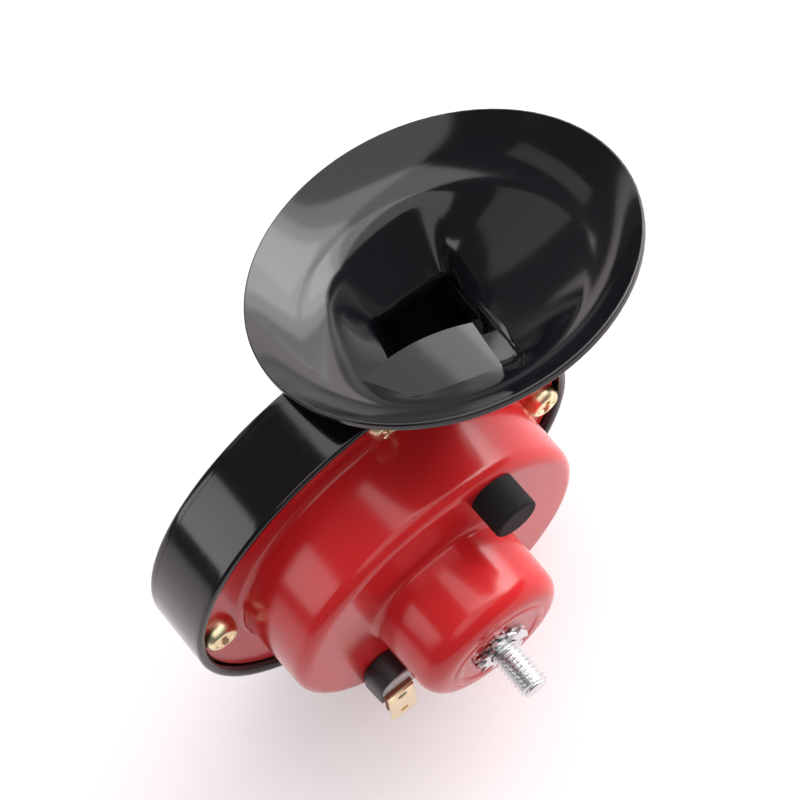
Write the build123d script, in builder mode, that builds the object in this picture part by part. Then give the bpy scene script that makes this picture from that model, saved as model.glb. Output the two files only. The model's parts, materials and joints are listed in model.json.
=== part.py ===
from build123d import *
import os
from math import atan2, cos, degrees, radians, sin

# A snail horn for a car.  All sizes are in millimetres.
#
# Frame: +X to the right and +Z up, seen from behind; +Y runs along the horn's axis from the
# mounting stud to the front cover.  The origin is on the stud's axis, in the plane where a
# bracket bears on the lock washers.  The bell opens upwards, to the right of the axis.

os.makedirs("parts", exist_ok=True)

# ---------------------------------------------------------------- driving dimensions

# pressed steel shell
sheet = 1.2
boss_r = 16.1
boss_height = 17.3
boss_edge_r = 4.8
boss_ring_r = 10.3
boss_ring_w = 1.0
boss_ring_h = 0.3
drum_r = 34.0
drum_height = 18.5
drum_edge_r = 2.9
flange_fillet_r = 1.6
boss_fillet_r = 1.4
shell_draft = 0.4

# moulded trumpet
flange_w = 9.9
side_play = 0.3
lip_wall = 1.8
lip_height = 1.9
cup_depth = 17.5
cover_plate = 2.0
cover_rim = 3.4
cover_edge_r = 3.2
chamber_wall_w = 8.0
lip_edge_r = 0.8
chamber_depth = 1.8
partition = 1.9
duct_step = 0.3
throat_hole_r = 6.5

# spiral duct: one turn round the axis, widening to the bell
duct_wall = 1.9
duct_corner_r = 2.4
spiral_start_r = 7.4
spiral_end_inset = 15.0
spiral_start_w = 9.6
spiral_end_w = 19.8
spiral_start_rise = 1.6
spiral_end_rise = 2.6
spiral_stations = 10

# bell
mouth_r = 37.5
mouth_reach = 14.2
mouth_bearing = 49.1
mouth_setback = 2.5
mouth_lean_side = 10.7
mouth_lean_front = 20.7
bell_wall = 1.9
brim_inner_r = 25.8
brim_depth = 8.0
brim_bulge = 1.1
neck_depth = 17.7
neck_back_left_x = -18.3
neck_back_left_y = 3.4
neck_back_right_x = 5.6
neck_back_right_y = -7.0
neck_front_right_x = 5.2
neck_front_right_y = 13.3
neck_front_left_x = -13.2
neck_front_left_y = 13.7
corner_bearings = [192.0, 326.5, 70.5, 130.5]
corner_spread = 17.0

# clamped stack: gasket, diaphragm, gasket
gasket = 0.5
diaphragm_t = 0.4
diaphragm_bead_r = 24.0
diaphragm_bead_w = 5.0
diaphragm_bead_h = 0.7
diaphragm_bend_r = 2.0
stack_play = 0.2

# flange screws
screw_circle_inset = 3.9
screw_count = 4
screw_phase = -18.0
screw_r = 2.0
screw_length = 6.2
screw_head_r = 3.8
screw_head_h = 2.6
screw_head_edge_r = 1.5
screw_tip_r = 0.6
screw_recess_w = 0.9
screw_recess_l = 4.4
screw_recess_depth = 1.4
screw_play = 0.2
screw_boss_r = 3.2
screw_floor = 1.0

# clearances shared by the mating pieces
thread_play = 0.03
close_play = 0.1

# stud and pole core, turned from one bar
stud_r = 3.0
stud_length = 9.6
stud_chamfer = 0.6
stud_neck_r = 2.8
core_r = 7.0
core_length = 24.2
core_foot_r = 9.0
core_edge_r = 0.5
air_gap = 0.9

# lock washers under the bracket
washer_t = 0.75
washer_seat_gap = 0.1
washer_r = 6.0
washer_ring_r = 4.6
washer_teeth = 10
washer_tooth_w = 1.6
washer_gap = 0.02

# coil
bobbin_wall = 1.0
bobbin_edge_r = 0.3
winding_edge_r = 0.4
winding_gap = 1.1

# armature and the washers that clamp it to the diaphragm
armature_r = 10.5
armature_length = 6.0
armature_neck_r = 5.0
armature_stem_r = 2.5
armature_head_r = 3.6
armature_head_h = 1.1
armature_edge_r = 0.6
armature_head_edge_r = 0.65
clamp_washer_r = 7.0
clamp_washer_t = 0.6

# contact breaker, a riveted stack of strips beside the coil
strip_w = 5.6
strip_corner_r = 0.7
stack_length = 12.0
stack_inset = 19.0
strip_end_gap = 2.3
tail_length = 5.0
bracket_t = 1.0
insulator_t = 1.2
moving_arm_t = 0.4
fixed_arm_t = 0.6
clamp_plate_t = 0.8
contact_x = 9.0
contact_r = 1.6
contact_t = 0.8
finger_x = 3.0
finger_w = 4.6
pad_r = 1.2
pad_t = 0.6
bobbin_gap = 0.5
rivet_pitch = 6.0
rivet_r = 1.1
rivet_head_r = 1.7
rivet_head_h = 0.8
live_gap = 0.9

# tuning screw, its bush and its rubber cap
tuning_angle = 49.0
tuning_inset = 5.8
tuning_r = 2.0
tuning_free_length = 5.2
tuning_chamfer = 0.3
tuning_slot_w = 0.8
tuning_slot_depth = 1.2
bush_r = 2.85
bush_length = 3.0
cap_r = 4.7
cap_height = 7.5
cap_roof = 1.9
cap_edge_r = 0.7

# spade terminal, its insulators and rivet
terminal_inset = 8.56
terminal_bearing = 217.25
terminal_angle = -103.0
block_r = 4.8
block_tail = 5.5
block_height = 5.4
block_taper = 4.0
plate_r = 4.5
plate_t = 0.4
strip_side = -1.2
fibre_w = 6.6
fibre_length = 8.0
fibre_t = 0.8
blade_w = 6.3
blade_t = 0.8
blade_length = 14.0
blade_chamfer = 1.0
blade_hole_r = 0.9
blade_hole_from_tip = 3.3
post_r = 1.2
post_at = 2.0
post_head_r = 2.2
post_head_h = 1.0
post_head_edge_r = 0.4
spigot_r = 2.0
inner_washer_r = 3.2
inner_washer_t = 1.2
tag_w = 4.4
tag_length = 7.4
tag_corner_r = 2.0
tag_t = 0.5
lead_r = 0.5
lead_bend_r = 1.5
lead_sweep = 18.0
lead_touch = 0.02
contact_lead_angle = 150.0

# ---------------------------------------------------------------- places along the axis

boss_y = washer_seat_gap + 2 * washer_t
boss_inner_y = boss_y + sheet
drum_y = boss_y + boss_height
drum_inner_y = drum_y + sheet
flange_y = drum_y + drum_height
flange_inner_y = flange_y + sheet
lip_y = flange_y - lip_height
diaphragm_y = flange_inner_y + gasket
front_gasket_y = diaphragm_y + diaphragm_t
ledge_y = front_gasket_y + gasket
partition_y = ledge_y + chamber_depth
pocket_floor_y = partition_y + partition
duct_floor_y = pocket_floor_y + duct_step
front_y = lip_y + cup_depth
seam_y = front_y - cover_rim
cover_inner_y = front_y - cover_plate
flange_r = drum_r + flange_w
cup_inner_r = flange_r + side_play
lip_r = cup_inner_r + lip_wall
spiral_end_r = lip_r - spiral_end_inset
screw_circle_r = cup_inner_r - screw_circle_inset
tuning_circle_r = drum_r - tuning_inset
chamber_r = cup_inner_r - chamber_wall_w
stack_r = flange_r - stack_play
core_foot_h = boss_edge_r - sheet
core_end_y = boss_inner_y + core_length
armature_y = core_end_y + air_gap
moving_arm_y = armature_y - pad_t - moving_arm_t
bracket_top_y = moving_arm_y - insulator_t
moving_contact_y = moving_arm_y + moving_arm_t
fixed_arm_y = moving_contact_y + 2 * contact_t
upper_insulator_y = fixed_arm_y + fixed_arm_t
clamp_plate_y = upper_insulator_y + insulator_t
stack_top_y = clamp_plate_y + clamp_plate_t
bobbin_y = boss_inner_y + core_foot_h
bobbin_top_y = moving_arm_y - bobbin_gap
bobbin_r = boss_r - sheet - close_play
barrel_r = core_r + close_play + bobbin_wall
winding_r = bobbin_r - winding_gap
tuning_y = drum_y - tuning_free_length
plate_y = drum_y - block_height
fibre_y = plate_y - plate_t
blade_y = fibre_y - fibre_t
post_y = blade_y - blade_t
tag_y = drum_inner_y + inner_washer_t


# ---------------------------------------------------------------- planes and profiles

def rear_plane(y):
    """A plane across the axis that faces the stud end: local x is +X and local y is +Z."""
    return Plane(origin=(0, y, 0), x_dir=(1, 0, 0), z_dir=(0, -1, 0))


def polar(radius, angle):
    """The point (x, z) at a radius and an angle in degrees about the horn's axis."""
    return (radius * cos(radians(angle)), radius * sin(radians(angle)))


def turned_profile(points, radii):
    """A closed profile (radius, y) on the XY plane, its corners rounded by the given radii."""
    with BuildSketch(Plane.XY) as profile:
        with BuildLine():
            FilletPolyline(*points, radius=radii, close=True)
        make_face()
    return profile.sketch


def save(part, name):
    """Label a finished piece and write its STEP file."""
    part.label = name
    export_step(part, f"parts/{name}.step")


mouth_x_z = polar(lip_r + mouth_reach, mouth_bearing)
mouth_centre = Vector(mouth_x_z[0], front_y - mouth_setback, mouth_x_z[1])
mouth_axis = Vector(
    sin(radians(mouth_lean_side)),
    cos(radians(mouth_lean_side)) * sin(radians(mouth_lean_front)),
    cos(radians(mouth_lean_side)) * cos(radians(mouth_lean_front)),
)
mouth_x = Vector(0, 1, 0).cross(mouth_axis).normalized()
mouth_plane = Plane(origin=mouth_centre, x_dir=mouth_x, z_dir=mouth_axis)
neck_plane = mouth_plane.offset(-neck_depth)
neck_corners = [
    (neck_back_left_x, neck_back_left_y),
    (neck_back_right_x, neck_back_right_y),
    (neck_front_right_x, neck_front_right_y),
    (neck_front_left_x, neck_front_left_y),
]
screw_depth = screw_length - (ledge_y - flange_y)
screw_spots = [
    polar(screw_circle_r, screw_phase + 360 / screw_count * number) for number in range(screw_count)
]
tuning_spot = polar(tuning_circle_r, tuning_angle)
strip_z = tuning_spot[1]
strip_right = tuning_spot[0] + strip_end_gap
stack_left = stack_inset - drum_r
stack_right = stack_left + stack_length
stack_middle = (stack_left + stack_right) / 2
rivet_spots = [(stack_middle - rivet_pitch / 2, strip_z), (stack_middle + rivet_pitch / 2, strip_z)]
terminal_spot = polar(drum_r - terminal_inset, terminal_bearing)
blade_dir = Vector(cos(radians(terminal_angle)), 0, sin(radians(terminal_angle)))
side_dir = Vector(-sin(radians(terminal_angle)), 0, cos(radians(terminal_angle)))
post_point = (
    Vector(terminal_spot[0], 0, terminal_spot[1]) + blade_dir * post_at + side_dir * strip_side
)
post_spot = (post_point.X, post_point.Z)
post_angle = degrees(atan2(post_point.Z, post_point.X))


def terminal_plane(y):
    """A plane at the terminal that faces the stud end, its local x along the blade."""
    return Plane(origin=(terminal_spot[0], y, terminal_spot[1]), x_dir=blade_dir, z_dir=(0, -1, 0))


# ---------------------------------------------------------------- the spiral duct

def grown_corners(corners, amount):
    """Push the four corners of a duct section outwards, each side by the same amount."""
    back_left, back_right, front_right, front_left = corners
    return [
        (back_left[0] - amount, back_left[1] - amount),
        (back_right[0] + amount, back_right[1] - amount),
        (front_right[0] + amount, front_right[1] + amount),
        (front_left[0] - amount, front_left[1] + amount),
    ]


def spiral_station(share):
    """Plane and corners of the duct at a share of its turn, from the centre hole to the exit."""
    angle = radians(-360 * (1 - share))
    middle_r = spiral_start_r + (spiral_end_r - spiral_start_r) * share
    half_w = (spiral_start_w + (spiral_end_w - spiral_start_w) * share) / 2
    rise = spiral_start_rise + (spiral_end_rise - spiral_start_rise) * share
    plane = Plane(
        origin=(middle_r * cos(angle), 0, middle_r * sin(angle)),
        x_dir=(cos(angle), 0, sin(angle)),
        z_dir=(-sin(angle), 0, cos(angle)),
    )
    roof_y = front_y + rise - (duct_wall - cover_plate)
    corners = [
        (-half_w, duct_floor_y),
        (half_w, duct_floor_y),
        (half_w, roof_y),
        (-half_w, roof_y),
    ]
    return plane, corners


def rounded_section(plane, corners, growth):
    """A four-sided section with rounded corners, grown outwards by the given amount."""
    with BuildSketch(plane) as section:
        with BuildLine():
            FilletPolyline(
                *grown_corners(corners, growth), radius=duct_corner_r + growth, close=True
            )
        make_face()
    return section.sketch


def spiral_duct(growth):
    """The duct as a solid: its air for a growth of 0, its outside for a growth of one wall."""
    stations = [spiral_station(number / spiral_stations) for number in range(spiral_stations + 1)]
    stations.append((neck_plane, neck_corners))
    with BuildPart() as duct:
        loft([rounded_section(plane, corners, growth) for plane, corners in stations])
    return duct.part


duct_air = spiral_duct(0)
duct_outside = spiral_duct(duct_wall)

# A wall closes the duct behind its start.
start_plane, start_corners = spiral_station(0)
start_section = rounded_section(
    start_plane.offset(-duct_wall), start_corners, duct_wall - close_play
)
start_wall = extrude(start_section, amount=duct_wall + duct_step)

# The hub joins the centre hole to the start of the spiral.
hub_top_y = front_y + spiral_start_rise - (duct_wall - cover_plate)
with BuildPart() as hub_air:
    with BuildSketch(rear_plane(partition_y)):
        Circle(throat_hole_r)
    extrude(amount=-(hub_top_y - partition_y))
    fillet(hub_air.edges().group_by(Axis.Y)[-1], duct_corner_r)

with BuildPart() as hub_outside:
    with BuildSketch(rear_plane(pocket_floor_y - partition / 2)):
        Circle(throat_hole_r + duct_wall)
    extrude(amount=-(hub_top_y + duct_wall - pocket_floor_y + partition / 2))
    fillet(hub_outside.edges().group_by(Axis.Y)[-1], duct_corner_r + duct_wall)

# ---------------------------------------------------------------- the bell


def brim_section(growth):
    """The circle where the brim ends and the funnel begins, cut into eight arcs to match it."""
    arc_ends = []
    for bearing in corner_bearings:
        arc_ends += [bearing - corner_spread / 2, bearing + corner_spread / 2]
    with BuildSketch(mouth_plane.offset(-brim_depth)) as section:
        with BuildLine():
            for start, end in zip(arc_ends, arc_ends[1:] + arc_ends[:1]):
                CenterArc((0, 0), brim_inner_r + growth, start, (end - start) % 360)
        make_face()
    return section.sketch


def funnel(growth):
    """The funnel from the round brim to the neck, as a solid."""
    with BuildPart() as solid:
        loft([brim_section(growth), rounded_section(neck_plane, neck_corners, growth)], ruled=True)
    return solid.part


funnel_outside = funnel(bell_wall)
funnel_air = funnel(0)

with BuildPart() as brim:
    with BuildSketch(Plane(origin=mouth_centre, x_dir=mouth_x, z_dir=-mouth_plane.y_dir)):
        with BuildLine():
            middle_r = (mouth_r + brim_inner_r) / 2
            middle_depth = brim_depth / 2 + brim_bulge
            ThreePointArc((brim_inner_r, -brim_depth), (middle_r, -middle_depth), (mouth_r, 0))
            Line((mouth_r, 0), (mouth_r, -bell_wall))
            ThreePointArc(
                (mouth_r, -bell_wall),
                (middle_r, -middle_depth - bell_wall),
                (brim_inner_r, -brim_depth - bell_wall),
            )
            Line((brim_inner_r, -brim_depth - bell_wall), (brim_inner_r, -brim_depth))
        make_face()
    revolve(axis=Axis(mouth_centre, mouth_axis))

# ---------------------------------------------------------------- trumpet body (moulded)

seam_plane = rear_plane(seam_y)

with BuildPart() as duct_back_half:
    add(duct_outside)
    add(start_wall)
    add(hub_outside.part)
    split(bisect_by=seam_plane, keep=Keep.TOP)

with BuildPart() as trumpet_body:
    add(
        turned_profile(
            [
                (0, partition_y),
                (chamber_r, partition_y),
                (chamber_r, ledge_y),
                (cup_inner_r, ledge_y),
                (cup_inner_r, lip_y),
                (lip_r, lip_y),
                (lip_r, seam_y),
                (cup_inner_r, seam_y),
                (cup_inner_r, pocket_floor_y),
                (0, pocket_floor_y),
            ],
            [0, 0, 0, 0, lip_edge_r, lip_edge_r, 0, 0, 0, 0],
        )
    )
    revolve(axis=Axis.Y)
    add(duct_back_half.part)
    with BuildSketch(rear_plane(ledge_y)):
        with Locations(*screw_spots):
            Circle(screw_boss_r)
    extrude(amount=-(screw_depth + screw_floor))
    add(funnel_outside)
    add(brim.part)
    add(funnel_air, mode=Mode.SUBTRACT)
    add(duct_air, mode=Mode.SUBTRACT)
    add(hub_air.part, mode=Mode.SUBTRACT)
    with BuildSketch(rear_plane(ledge_y)):
        Circle(cup_inner_r)
    extrude(amount=ledge_y - lip_y, mode=Mode.SUBTRACT)
    with BuildSketch(rear_plane(ledge_y)):
        with Locations(*screw_spots):
            Circle(screw_r + thread_play)
    extrude(amount=-screw_depth, mode=Mode.SUBTRACT)
save(trumpet_body.part, "trumpet_body")

# ---------------------------------------------------------------- spiral cover (moulded)

with BuildPart() as duct_front_half:
    add(duct_outside)
    add(start_wall)
    add(hub_outside.part)
    split(bisect_by=seam_plane, keep=Keep.BOTTOM)

with BuildPart() as spiral_cover:
    add(
        turned_profile(
            [
                (0, cover_inner_y),
                (cup_inner_r, cover_inner_y),
                (cup_inner_r, seam_y),
                (lip_r, seam_y),
                (lip_r, front_y),
                (0, front_y),
            ],
            [0, cover_edge_r - cover_plate, 0, 0, cover_edge_r, 0],
        )
    )
    revolve(axis=Axis.Y)
    add(duct_front_half.part)
    add(duct_air, mode=Mode.SUBTRACT)
    add(hub_air.part, mode=Mode.SUBTRACT)
    add(funnel_outside, mode=Mode.SUBTRACT)
    add(brim.part, mode=Mode.SUBTRACT)
# the funnel leaves a scrap of the rim standing alone, which is trimmed off
save(spiral_cover.part.solids().sort_by(SortBy.VOLUME)[-1], "spiral_cover")

# ---------------------------------------------------------------- pressed steel shell

boss_foot_r = boss_r + shell_draft
drum_foot_r = drum_r + shell_draft
stud_hole_r = stud_r + close_play

with BuildPart() as shell:
    add(
        turned_profile(
            [
                (stud_hole_r, boss_y),
                (boss_r, boss_y),
                (boss_foot_r, drum_y),
                (drum_r, drum_y),
                (drum_foot_r, flange_y),
                (flange_r, flange_y),
                (flange_r, flange_inner_y),
                (drum_foot_r - sheet, flange_inner_y),
                (drum_r - sheet, drum_inner_y),
                (boss_foot_r - sheet, drum_inner_y),
                (boss_r - sheet, boss_inner_y),
                (stud_hole_r, boss_inner_y),
            ],
            [
                0,
                boss_edge_r,
                boss_fillet_r,
                drum_edge_r,
                flange_fillet_r,
                0,
                0,
                flange_fillet_r + sheet,
                drum_edge_r - sheet,
                boss_fillet_r + sheet,
                boss_edge_r - sheet,
                0,
            ],
        )
    )
    revolve(axis=Axis.Y)
    # raised ring on the boss
    with BuildSketch(Plane.XY):
        with BuildLine():
            ThreePointArc(
                (boss_ring_r - boss_ring_w, boss_y),
                (boss_ring_r, boss_y - boss_ring_h),
                (boss_ring_r + boss_ring_w, boss_y),
            )
            Line((boss_ring_r + boss_ring_w, boss_y), (boss_ring_r - boss_ring_w, boss_y))
        make_face()
    revolve(axis=Axis.Y)
    with BuildSketch(rear_plane(flange_inner_y)):
        with Locations(*screw_spots):
            Circle(screw_r + screw_play)
    extrude(amount=sheet, mode=Mode.SUBTRACT)
    with BuildSketch(rear_plane(drum_inner_y)):
        with Locations(tuning_spot):
            Circle(tuning_r + close_play)
        with Locations(post_spot):
            Circle(spigot_r + close_play)
    extrude(amount=sheet, mode=Mode.SUBTRACT)
save(shell.part, "shell")

# ---------------------------------------------------------------- flange screws

with BuildPart() as flange_screw:
    add(
        turned_profile(
            [
                (0, flange_y - screw_head_h),
                (screw_head_r, flange_y - screw_head_h),
                (screw_head_r, flange_y),
                (screw_r, flange_y),
                (screw_r, flange_y + screw_length),
                (0, flange_y + screw_length),
            ],
            [0, screw_head_edge_r, 0, 0, screw_tip_r, 0],
        )
    )
    revolve(axis=Axis.Y)
    with BuildSketch(rear_plane(flange_y - screw_head_h)):
        Rectangle(screw_recess_l, screw_recess_w)
        Rectangle(screw_recess_w, screw_recess_l)
    extrude(amount=-screw_recess_depth, mode=Mode.SUBTRACT)

with BuildPart() as flange_screws:
    with Locations(*[(x, 0, z) for x, z in screw_spots]):
        add(flange_screw.part)
save(flange_screws.part, "flange_screws")

# ---------------------------------------------------------------- gaskets and diaphragm


def gasket_ring(y):
    """A flat gasket round the sound chamber, pierced by the flange screws."""
    with BuildPart() as ring:
        with BuildSketch(rear_plane(y)):
            Circle(stack_r)
            Circle(chamber_r, mode=Mode.SUBTRACT)
            with Locations(*screw_spots):
                Circle(screw_r + screw_play, mode=Mode.SUBTRACT)
        extrude(amount=-gasket)
    return ring.part


save(gasket_ring(flange_inner_y), "rear_gasket")
save(gasket_ring(front_gasket_y), "front_gasket")

bead_in = diaphragm_bead_r - diaphragm_bead_w / 2
bead_out = diaphragm_bead_r + diaphragm_bead_w / 2
stem_hole_r = armature_stem_r + close_play

with BuildPart() as diaphragm:
    add(
        turned_profile(
            [
                (stem_hole_r, diaphragm_y),
                (bead_in, diaphragm_y),
                (diaphragm_bead_r, diaphragm_y + diaphragm_bead_h),
                (bead_out, diaphragm_y),
                (stack_r, diaphragm_y),
                (stack_r, front_gasket_y),
                (bead_out, front_gasket_y),
                (diaphragm_bead_r, front_gasket_y + diaphragm_bead_h),
                (bead_in, front_gasket_y),
                (stem_hole_r, front_gasket_y),
            ],
            [
                0,
                diaphragm_bend_r,
                diaphragm_bend_r,
                diaphragm_bend_r,
                0,
                0,
                diaphragm_bend_r,
                diaphragm_bend_r,
                diaphragm_bend_r,
                0,
            ],
        )
    )
    revolve(axis=Axis.Y)
    with BuildSketch(rear_plane(diaphragm_y)):
        with Locations(*screw_spots):
            Circle(screw_r + screw_play)
    extrude(amount=-diaphragm_t, mode=Mode.SUBTRACT)
save(diaphragm.part, "diaphragm")

# ---------------------------------------------------------------- armature

with BuildPart() as diaphragm_washers:
    for y in (diaphragm_y - clamp_washer_t, front_gasket_y):
        with BuildSketch(rear_plane(y)):
            Circle(clamp_washer_r)
            Circle(stem_hole_r, mode=Mode.SUBTRACT)
        extrude(amount=-clamp_washer_t)
save(diaphragm_washers.part, "diaphragm_washers")

neck_y = diaphragm_y - clamp_washer_t
head_y = front_gasket_y + clamp_washer_t

with BuildPart() as armature:
    add(
        turned_profile(
            [
                (0, armature_y),
                (armature_r, armature_y),
                (armature_r, armature_y + armature_length),
                (armature_neck_r, armature_y + armature_length),
                (armature_neck_r, neck_y),
                (armature_stem_r, neck_y),
                (armature_stem_r, head_y),
                (armature_head_r, head_y),
                (armature_head_r, head_y + armature_head_h),
                (0, head_y + armature_head_h),
            ],
            [
                0,
                armature_edge_r,
                armature_edge_r,
                armature_edge_r,
                0,
                0,
                0,
                0,
                armature_head_edge_r,
                0,
            ],
        )
    )
    revolve(axis=Axis.Y)
save(armature.part, "armature")

# ---------------------------------------------------------------- stud, pole core and washers

with BuildPart() as pole_core:
    add(
        turned_profile(
            [
                (0, -stud_length),
                (stud_r - stud_chamfer, -stud_length),
                (stud_r, -stud_length + stud_chamfer),
                (stud_r, 0),
                (stud_neck_r, 0),
                (stud_neck_r, boss_inner_y),
                (core_foot_r, boss_inner_y),
                (core_foot_r, bobbin_y),
                (core_r, bobbin_y),
                (core_r, core_end_y),
                (0, core_end_y),
            ],
            [0, 0, 0, 0, 0, 0, core_edge_r, 0, 0, core_edge_r, 0],
        )
    )
    revolve(axis=Axis.Y)
save(pole_core.part, "pole_core")

with BuildPart() as lock_washers:
    for y, turn in ((boss_y - washer_t - washer_gap, 0), (boss_y, 180 / washer_teeth)):
        with BuildSketch(rear_plane(y)):
            Circle(washer_ring_r)
            with PolarLocations(washer_ring_r, washer_teeth, turn):
                Rectangle(2 * (washer_r - washer_ring_r), washer_tooth_w)
            Circle(stud_r + close_play, mode=Mode.SUBTRACT)
        extrude(amount=washer_t - washer_gap)
save(lock_washers.part, "lock_washers")

# ---------------------------------------------------------------- coil

with BuildPart() as coil_bobbin:
    add(
        turned_profile(
            [
                (core_r + close_play, bobbin_y),
                (bobbin_r, bobbin_y),
                (bobbin_r, bobbin_y + bobbin_wall),
                (barrel_r, bobbin_y + bobbin_wall),
                (barrel_r, bobbin_top_y - bobbin_wall),
                (bobbin_r, bobbin_top_y - bobbin_wall),
                (bobbin_r, bobbin_top_y),
                (core_r + close_play, bobbin_top_y),
            ],
            [0, bobbin_edge_r, bobbin_edge_r, 0, 0, bobbin_edge_r, bobbin_edge_r, 0],
        )
    )
    revolve(axis=Axis.Y)
save(coil_bobbin.part, "coil_bobbin")

with BuildPart() as coil_winding:
    with BuildSketch(rear_plane(bobbin_y + bobbin_wall + close_play)):
        Circle(winding_r)
        Circle(barrel_r + thread_play, mode=Mode.SUBTRACT)
    extrude(amount=-(bobbin_top_y - bobbin_y - 2 * bobbin_wall - 2 * close_play))
    fillet(coil_winding.edges().filter_by(GeomType.CIRCLE).sort_by(SortBy.RADIUS)[-2:], winding_edge_r)
save(coil_winding.part, "coil_winding")

# ---------------------------------------------------------------- contact breaker


def stack_block(y, thickness, hole_r):
    """One flat piece of the riveted stack."""
    with BuildPart() as block:
        with BuildSketch(rear_plane(y)):
            with Locations((stack_middle, strip_z)):
                RectangleRounded(stack_right - stack_left, strip_w, strip_corner_r)
            with Locations(*rivet_spots):
                Circle(hole_r, mode=Mode.SUBTRACT)
        extrude(amount=-thickness)
    return block.part


with BuildPart() as contact_bracket:
    with BuildSketch(Plane(origin=(stack_left, 0, strip_z), x_dir=(0, 0, 1), z_dir=(-1, 0, 0))):
        with BuildLine():
            Polyline(
                (-strip_w / 2, drum_inner_y + bracket_t / 2),
                (strip_w / 2 - bracket_t / 2, drum_inner_y + bracket_t / 2),
                (strip_w / 2 - bracket_t / 2, bracket_top_y - bracket_t / 2),
                (-strip_w / 2, bracket_top_y - bracket_t / 2),
            )
            offset(amount=bracket_t / 2, kind=Kind.INTERSECTION)
        make_face()
    extrude(amount=-(stack_right - stack_left))
    with BuildSketch(rear_plane(bracket_top_y)):
        with Locations(*rivet_spots):
            Circle(rivet_r + thread_play)
    extrude(amount=bracket_t, mode=Mode.SUBTRACT)
save(contact_bracket.part, "contact_bracket")

save(stack_block(bracket_top_y, insulator_t, rivet_r + thread_play), "lower_insulator")
save(stack_block(moving_contact_y, 2 * contact_t, rivet_r + thread_play), "middle_insulator")
save(stack_block(upper_insulator_y, insulator_t, rivet_r + thread_play), "upper_insulator")
save(stack_block(clamp_plate_y, clamp_plate_t, rivet_r + thread_play), "clamp_plate")

moving_left = stack_left - tail_length
moving_right = contact_x + strip_w / 2
finger_end_z = core_r + bobbin_gap

with BuildPart() as moving_arm:
    with BuildSketch(rear_plane(moving_arm_y)):
        with Locations(((moving_left + moving_right) / 2, strip_z)):
            RectangleRounded(moving_right - moving_left, strip_w, strip_corner_r)
        with Locations((finger_x, (finger_end_z + strip_z) / 2)):
            RectangleRounded(finger_w, strip_z - finger_end_z, strip_corner_r)
        with Locations(*rivet_spots):
            Circle(rivet_r + live_gap, mode=Mode.SUBTRACT)
    extrude(amount=-moving_arm_t)
save(moving_arm.part, "moving_arm")

with BuildPart() as fixed_arm:
    with BuildSketch(rear_plane(fixed_arm_y)):
        with Locations(((stack_left + strip_right) / 2, strip_z)):
            RectangleRounded(strip_right - stack_left, strip_w, strip_corner_r)
        with Locations(*rivet_spots):
            Circle(rivet_r + live_gap, mode=Mode.SUBTRACT)
    extrude(amount=-fixed_arm_t)
save(fixed_arm.part, "fixed_arm")

with BuildPart() as contact_rivets:
    with BuildSketch(rear_plane(bracket_top_y - bracket_t)):
        with Locations(*rivet_spots):
            Circle(rivet_r)
    extrude(amount=-(stack_top_y - bracket_top_y + bracket_t))
    for y in (bracket_top_y - bracket_t - rivet_head_h, stack_top_y):
        with BuildSketch(rear_plane(y)):
            with Locations(*rivet_spots):
                Circle(rivet_head_r)
        extrude(amount=-rivet_head_h)
save(contact_rivets.part, "contact_rivets")


def button(y, height, radius, x, z):
    """A small flat round piece."""
    with BuildPart() as disc:
        with BuildSketch(rear_plane(y)):
            with Locations((x, z)):
                Circle(radius)
        extrude(amount=-height)
    return disc.part


save(button(moving_contact_y, contact_t, contact_r, contact_x, strip_z), "moving_contact")
save(button(fixed_arm_y - contact_t, contact_t, contact_r, contact_x, strip_z), "fixed_contact")
save(
    button(armature_y - pad_t, pad_t, pad_r, finger_x, finger_end_z + pad_r + close_play), "push_pad"
)

# ---------------------------------------------------------------- tuning screw and rubber cap

with BuildPart() as tuning_bush:
    with BuildSketch(rear_plane(drum_inner_y)):
        with Locations(tuning_spot):
            Circle(bush_r)
            Circle(tuning_r + thread_play, mode=Mode.SUBTRACT)
    extrude(amount=-bush_length)
save(tuning_bush.part, "tuning_bush")

with BuildPart() as tuning_screw:
    with BuildSketch(rear_plane(tuning_y)):
        with Locations(tuning_spot):
            Circle(tuning_r)
    extrude(amount=-(fixed_arm_y - tuning_y))
    chamfer(tuning_screw.edges().filter_by(GeomType.CIRCLE), tuning_chamfer)
    with BuildSketch(rear_plane(tuning_y)):
        with Locations(tuning_spot):
            Rectangle(2 * tuning_r, tuning_slot_w)
    extrude(amount=-tuning_slot_depth, mode=Mode.SUBTRACT)
save(tuning_screw.part, "tuning_screw")

with BuildPart() as rubber_cap:
    with BuildSketch(rear_plane(drum_y)):
        with Locations(tuning_spot):
            Circle(cap_r)
    extrude(amount=cap_height)
    fillet(rubber_cap.edges().group_by(Axis.Y)[0], cap_edge_r)
    with BuildSketch(rear_plane(drum_y)):
        with Locations(tuning_spot):
            Circle(tuning_r + thread_play)
    extrude(amount=cap_height - cap_roof, mode=Mode.SUBTRACT)
save(rubber_cap.part, "rubber_cap")

# ---------------------------------------------------------------- spade terminal

with BuildPart() as terminal_block:
    with BuildSketch(terminal_plane(drum_y)):
        Circle(block_r + block_height * sin(radians(block_taper)))
        with Locations((block_tail / 2, 0)):
            Rectangle(block_tail, 2 * (block_r + block_height * sin(radians(block_taper))))
    extrude(amount=block_height, taper=block_taper)
    with BuildSketch(rear_plane(drum_y)):
        with Locations(post_spot):
            Circle(spigot_r)
    extrude(amount=-sheet)
    with BuildSketch(rear_plane(plate_y)):
        with Locations(post_spot):
            Circle(post_r + thread_play)
    extrude(amount=-(block_height + sheet), mode=Mode.SUBTRACT)
save(terminal_block.part, "terminal_block")

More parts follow.
